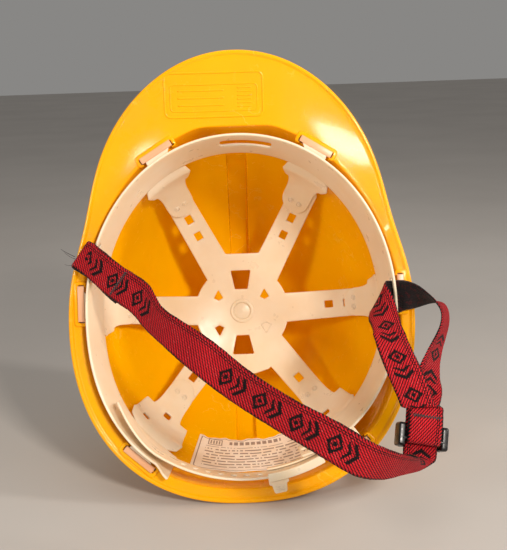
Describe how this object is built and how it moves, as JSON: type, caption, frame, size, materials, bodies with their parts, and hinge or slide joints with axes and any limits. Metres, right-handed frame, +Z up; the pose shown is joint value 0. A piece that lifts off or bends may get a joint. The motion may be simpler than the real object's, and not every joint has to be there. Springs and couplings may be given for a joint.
{
  "type": "safety helmet",
  "caption": "Industrial safety helmet with a plastic shell, a six-arm suspension harness, a sizing nape strap and a webbing chin strap.",
  "frame": {"origin": "middle of the bounding box at the floor", "axes": "+Z up, -Y out of the open side of the helmet, +X to the right seen from the open side; the helmet lies on its rear rim and crown with the brim up"},
  "size_m": [0.233, 0.2746, 0.2712],
  "materials": {
    "shell_yellow": "moulded polyethylene, satin gloss",
    "harness_milky": "natural low density polyethylene, translucent",
    "webbing_red": "woven polyester",
    "slider_black": "moulded",
    "thread_black": "sewing thread",
    "thread_red": "loose thread",
    "label_paper": "coated label"
  },
  "bodies": {
    "helmet": {"shell": "shell_yellow", "headband": "harness_milky", "nape_strap": "harness_milky", "hanger_front_left": "harness_milky", "hanger_front_right": "harness_milky", "hanger_side_left": "harness_milky", "hanger_side_right": "harness_milky", "hanger_rear_left": "harness_milky", "hanger_rear_right": "harness_milky", "cradle": "harness_milky", "chin_loop_left": "webbing_red", "chin_loop_right": "webbing_red", "thread_tail": "thread_red", "inner_label": "label_paper"},
    "chin_strap": {"chin_strap": "webbing_red", "chin_strap_inner_strand": "webbing_red", "bar_tack_left": "thread_black"},
    "strap_slider": {"strap_slider": "slider_black", "slider_loop": "webbing_red", "bar_tack_slider": "thread_black"},
    "nape_lock": {"nape_lock": "harness_milky"}
  },
  "joints": [
    {"name": "chin_strap_swing", "type": "hinge", "parent": "helmet", "child": "chin_strap", "pos_m": [-0.1022, -0.01144, 0.14823], "axis": [-0.9898, 0.0394, 0.1366], "range_deg": [0, 112]},
    {"name": "strap_slider_slide", "type": "slide", "parent": "chin_strap", "child": "strap_slider", "axis": [0.161, 0.4761, 0.8645], "range_m": [0, 0.013], "deforming": ["chin_strap_inner_strand"]},
    {"name": "nape_lock_turn", "type": "hinge", "parent": "helmet", "child": "nape_lock", "pos_m": [-0.0092, -0.01785, 0.11157], "axis": [0, 0.9608, -0.2772], "range_deg": [-2, 26]}
  ]
}
